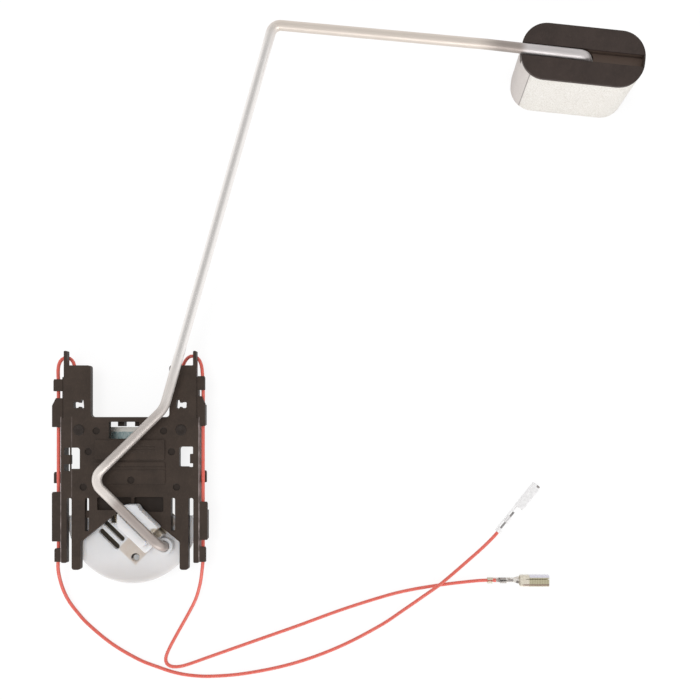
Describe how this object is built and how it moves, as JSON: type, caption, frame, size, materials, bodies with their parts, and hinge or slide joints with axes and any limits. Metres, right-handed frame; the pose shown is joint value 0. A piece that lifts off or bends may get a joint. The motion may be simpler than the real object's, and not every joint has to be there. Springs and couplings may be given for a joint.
{
  "type": "fuel level sender",
  "caption": "Fuel tank level sender with a moulded frame, a pale rotor, a long bent wire arm, a grooved float and a pair of thin leads with crimped terminals.",
  "frame": {"origin": "on the rotor's pivot axis, at the back face of the rear carrier", "axes": "+Z along the pivot axis out of the front face, +Y towards the frame's horns"},
  "size_m": [0.1844, 0.2056, 0.0249],
  "materials": {
    "frame": "satin moulded",
    "rear_carrier": "satin moulded",
    "resistor_card": "fired, matt",
    "resistor_track": "fired print",
    "ground_track": "fired print",
    "solder": "bright solder",
    "rotor": "satin moulded",
    "wiper": "rolled sheet",
    "contact": "polished",
    "float_arm": "drawn wire",
    "float_cap": "matt",
    "float_body": "fine grained",
    "lead": "smooth insulation",
    "terminal": "tinned",
    "strands": "bare wire"
  },
  "bodies": {
    "base": {"frame": "frame", "rear_carrier": "rear_carrier", "resistor_card": "resistor_card", "resistor_track": "resistor_track", "ground_track": "ground_track", "solder_left": "solder", "solder_right": "solder", "lead_left": "lead", "lead_right": "lead", "terminal_left": "terminal", "terminal_right": "terminal", "strands_left": "strands", "strands_right": "strands"},
    "arm": {"rotor": "rotor", "wiper": "wiper", "contact_inner": "contact", "contact_outer": "contact", "float_arm": "float_arm", "float_cap": "float_cap", "float_body": "float_body"}
  },
  "joints": [
    {"name": "arm_swing", "type": "hinge", "parent": "base", "child": "arm", "pos_m": [0, 0, 0], "axis": [0, 0, 1], "range_deg": [-90, 0]}
  ]
}
